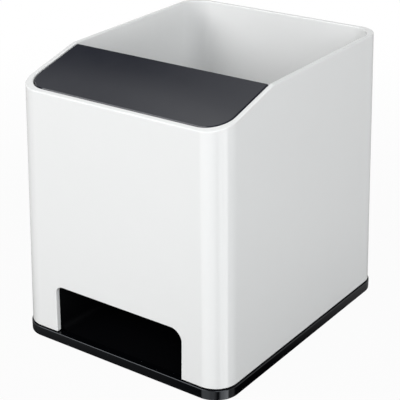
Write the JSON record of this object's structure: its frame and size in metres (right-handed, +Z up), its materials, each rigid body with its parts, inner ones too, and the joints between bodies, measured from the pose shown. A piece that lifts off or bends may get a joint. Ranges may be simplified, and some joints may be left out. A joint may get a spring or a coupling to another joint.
{
  "type": "pen holder",
  "caption": "Drafted box-shaped pen holder with an open compartment behind a sloping deck, and an inner horn that leads sound to a wide mouth in its front foot.",
  "frame": {"origin": "on the table, in the middle of the footprint, so at the middle of the underside of the feet", "axes": "+Z up, -Y towards the front with the mouth and the low rim, +X to the right as seen from the front"},
  "size_m": [0.088, 0.1054, 0.1018],
  "materials": {
    "shell_plastic": "white, polished, moulded",
    "deck_plastic": "dark grey, softly glossy, moulded",
    "inner_plastic": "dark grey, fine matt texture, moulded",
    "horn_plastic": "black, satin, moulded",
    "base_plastic": "black, satin to glossy, moulded",
    "screw_steel": "plain zinc-plated",
    "foot_rubber": "matt black"
  },
  "bodies": {
    "root": {"outer_shell": "shell_plastic", "deck_panel": "deck_plastic", "partition_wall": "inner_plastic", "pen_floor": "inner_plastic", "sound_horn": "horn_plastic", "base_tray": "base_plastic", "base_screw_front_left": "screw_steel", "base_screw_front_right": "screw_steel", "base_screw_back_left": "screw_steel", "base_screw_back_right": "screw_steel", "horn_screw_left": "screw_steel", "horn_screw_right": "screw_steel", "rubber_foot_front_left": "foot_rubber", "rubber_foot_front_right": "foot_rubber", "rubber_foot_back_left": "foot_rubber", "rubber_foot_back_right": "foot_rubber"}
  },
  "joints": []
}
